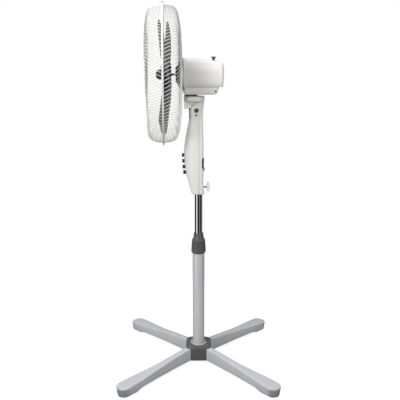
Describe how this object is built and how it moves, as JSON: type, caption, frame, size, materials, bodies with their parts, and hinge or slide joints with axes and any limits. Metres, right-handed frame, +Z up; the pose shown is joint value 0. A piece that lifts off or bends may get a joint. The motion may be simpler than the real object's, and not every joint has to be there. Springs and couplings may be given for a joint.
{
  "type": "pedestal fan",
  "caption": "Pedestal fan on a cross base: telescopic pole, push-button housing, tilting neck, oscillating motor head, wire guard and broad-bladed fan.",
  "frame": {"origin": "on the floor under the pole's axis, at the middle of the cross base", "axes": "+Z up along the pole; -Y is the way the fan blows; +X is the fan's left side as seen from behind it"},
  "size_m": [0.5316, 0.5316, 1.194],
  "materials": {
    "housing_plastic": "satin moulded plastic, warm off-white",
    "leg_plastic": "silver-grey moulded plastic",
    "pole_paint": "silver-grey painted tube",
    "dark_plastic": "dark warm grey moulded plastic",
    "button_plastic": "black moulded plastic",
    "chrome_tube": "polished",
    "foot_rubber": "moulded rubber",
    "wire_enamel": "white enamelled wire",
    "blade_plastic": "smoke grey moulded plastic",
    "knob_plastic": "milky white moulded plastic",
    "steel": "zinc-plated steel",
    "screw_black": "black oxide",
    "iron": "laminated iron with windings",
    "capacitor_case": "moulded case"
  },
  "bodies": {
    "base": {"base_hub": "dark_plastic", "leg_1": "leg_plastic", "leg_2": "leg_plastic", "leg_3": "leg_plastic", "leg_4": "leg_plastic", "foot_pad_1": "foot_rubber", "foot_pad_2": "foot_rubber", "foot_pad_3": "foot_rubber", "foot_pad_4": "foot_rubber", "pole_flange": "pole_paint", "outer_tube": "pole_paint", "base_bolt": "steel", "pole_bush": "dark_plastic"},
    "collar": {"height_collar": "dark_plastic"},
    "column": {"control_cover_front": "housing_plastic", "control_cover_rear": "housing_plastic", "inner_tube": "chrome_tube", "tube_clamp": "dark_plastic", "switch_block": "dark_plastic", "capacitor": "capacitor_case", "cable_gaiter": "dark_plastic", "tilt_screw": "screw_black", "tilt_nut": "steel", "rear_plate": "button_plastic", "cord_gland": "dark_plastic", "cover_screw_1": "steel", "cover_screw_2": "steel", "cover_screw_3": "steel"},
    "clamp": {"clamp_knob": "knob_plastic", "clamp_screw": "steel"},
    "button_off_body": {"button_off": "button_plastic"},
    "button_low_body": {"button_low": "button_plastic"},
    "button_medium_body": {"button_medium": "button_plastic"},
    "button_high_body": {"button_high": "button_plastic"},
    "neck": {"neck_bracket": "housing_plastic", "swivel_pin": "steel", "swivel_washer": "dark_plastic"},
    "head": {"motor_housing": "housing_plastic", "gearbox_tray": "housing_plastic", "housing_screw_left": "screw_black", "housing_screw_right": "screw_black", "front_plate": "housing_plastic", "stator": "iron", "rear_bracket": "steel", "gear_case": "dark_plastic", "crank_disc": "steel", "link_arm": "steel", "front_guard": "wire_enamel", "rear_guard": "wire_enamel", "rim_band": "wire_enamel", "rim_screw": "steel", "top_clip": "dark_plastic", "front_badge": "leg_plastic", "guard_nut": "dark_plastic"},
    "rotor": {"fan_blade": "blade_plastic", "motor_shaft": "steel", "drive_pin": "steel", "rotor_core": "iron", "spinner_nut": "dark_plastic"},
    "knob": {"oscillation_knob": "dark_plastic"}
  },
  "joints": [
    {"name": "collar_turn", "type": "hinge", "parent": "base", "child": "collar", "pos_m": [0, 0, 0.42], "axis": [0, 0, 1], "range_deg": [0, 90]},
    {"name": "height_slide", "type": "slide", "parent": "base", "child": "column", "axis": [0, 0, 1], "range_m": [-0.12, 0.08]},
    {"name": "clamp_turn", "type": "hinge", "parent": "column", "child": "clamp", "pos_m": [0, 0.03, 0.607], "axis": [0, 1, 0], "range_deg": [0, 180]},
    {"name": "button_off_press", "type": "slide", "parent": "column", "child": "button_off_body", "axis": [0, 1, 0], "range_m": [0, 0.004], "stiffness_N_per_m": 200},
    {"name": "button_low_press", "type": "slide", "parent": "column", "child": "button_low_body", "axis": [0, 1, 0], "range_m": [0, 0.004], "stiffness_N_per_m": 200},
    {"name": "button_medium_press", "type": "slide", "parent": "column", "child": "button_medium_body", "axis": [0, 1, 0], "range_m": [0, 0.004], "stiffness_N_per_m": 200},
    {"name": "button_high_press", "type": "slide", "parent": "column", "child": "button_high_body", "axis": [0, 1, 0], "range_m": [0, 0.004], "stiffness_N_per_m": 200},
    {"name": "tilt", "type": "hinge", "parent": "column", "child": "neck", "pos_m": [0, -0.008, 0.859], "axis": [1, 0, 0], "range_deg": [-20, 10]},
    {"name": "oscillate", "type": "hinge", "parent": "neck", "child": "head", "pos_m": [0, -0.025, 0.909], "axis": [0, 0, 1], "range_deg": [-40, 40]},
    {"name": "fan_spin", "type": "hinge", "parent": "head", "child": "rotor", "pos_m": [0, -0.1, 0.97], "axis": [0, 1, 0], "continuous": true},
    {"name": "oscillation_switch", "type": "slide", "parent": "head", "child": "knob", "axis": [0, 0, 1], "range_m": [-0.006, 0]}
  ]
}
